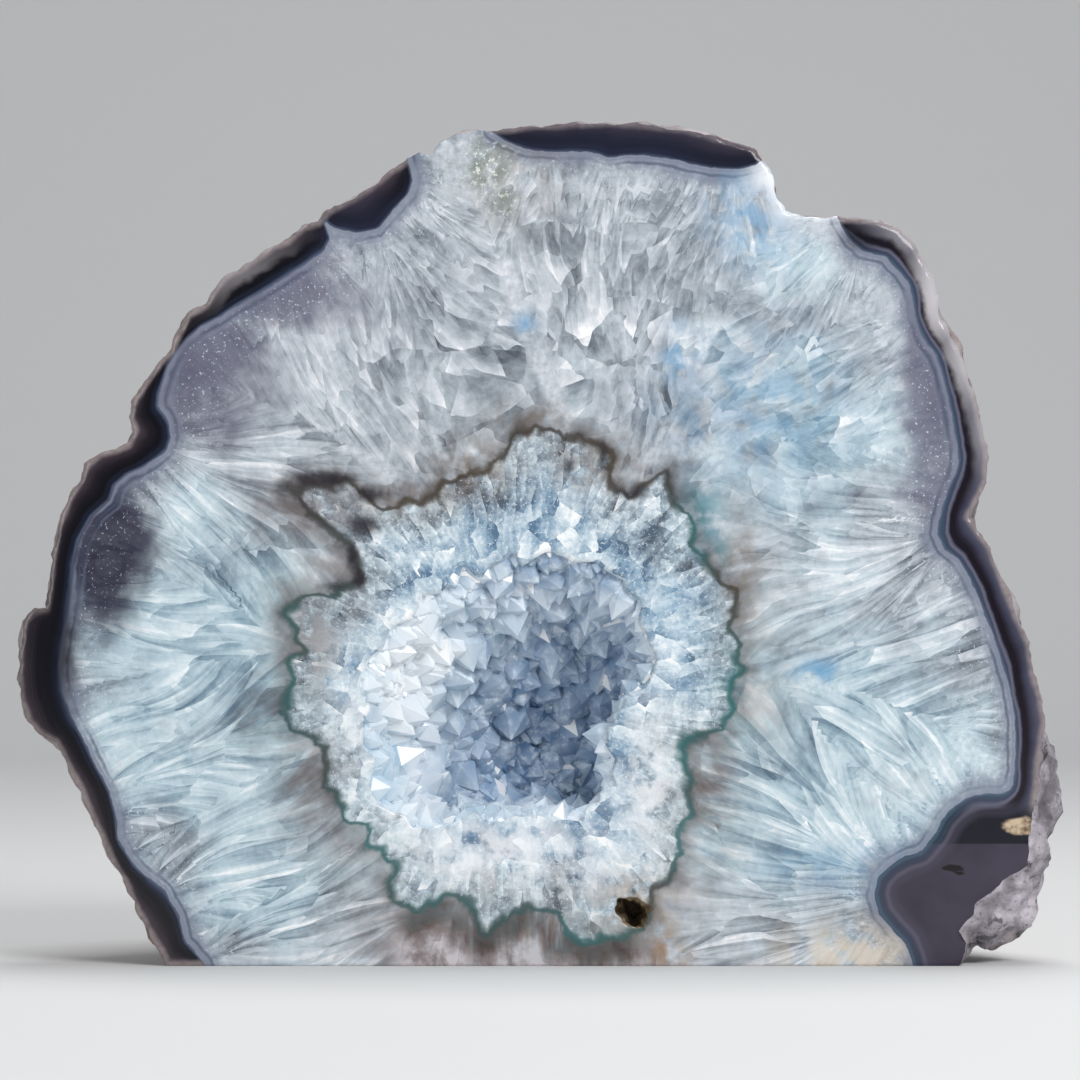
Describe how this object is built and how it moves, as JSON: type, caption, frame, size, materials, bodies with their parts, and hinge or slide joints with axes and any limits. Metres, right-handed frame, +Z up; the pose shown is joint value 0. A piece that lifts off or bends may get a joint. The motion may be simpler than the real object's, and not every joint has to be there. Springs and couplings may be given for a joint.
{
  "type": "agate geode",
  "caption": "Standing agate geode: half a nodule with a flat polished face, a sawn foot, a rough rounded back and an open hollow lined with quartz points.",
  "frame": {"origin": "middle of the whole part's bounding box, seen from above, at the level of the sawn foot", "axes": "+Z up, +X to the right along the polished face, +Y into the stone: the polished face looks towards -Y"},
  "size_m": [0.2096, 0.0782, 0.1691],
  "materials": {
    "agate_nodule": "polished on the face, sawn under the foot, rough and weathered behind",
    "quartz_crust": "natural crystal faces"
  },
  "bodies": {
    "root": {"agate_nodule": "agate_nodule", "quartz_crust": "quartz_crust"}
  },
  "joints": []
}
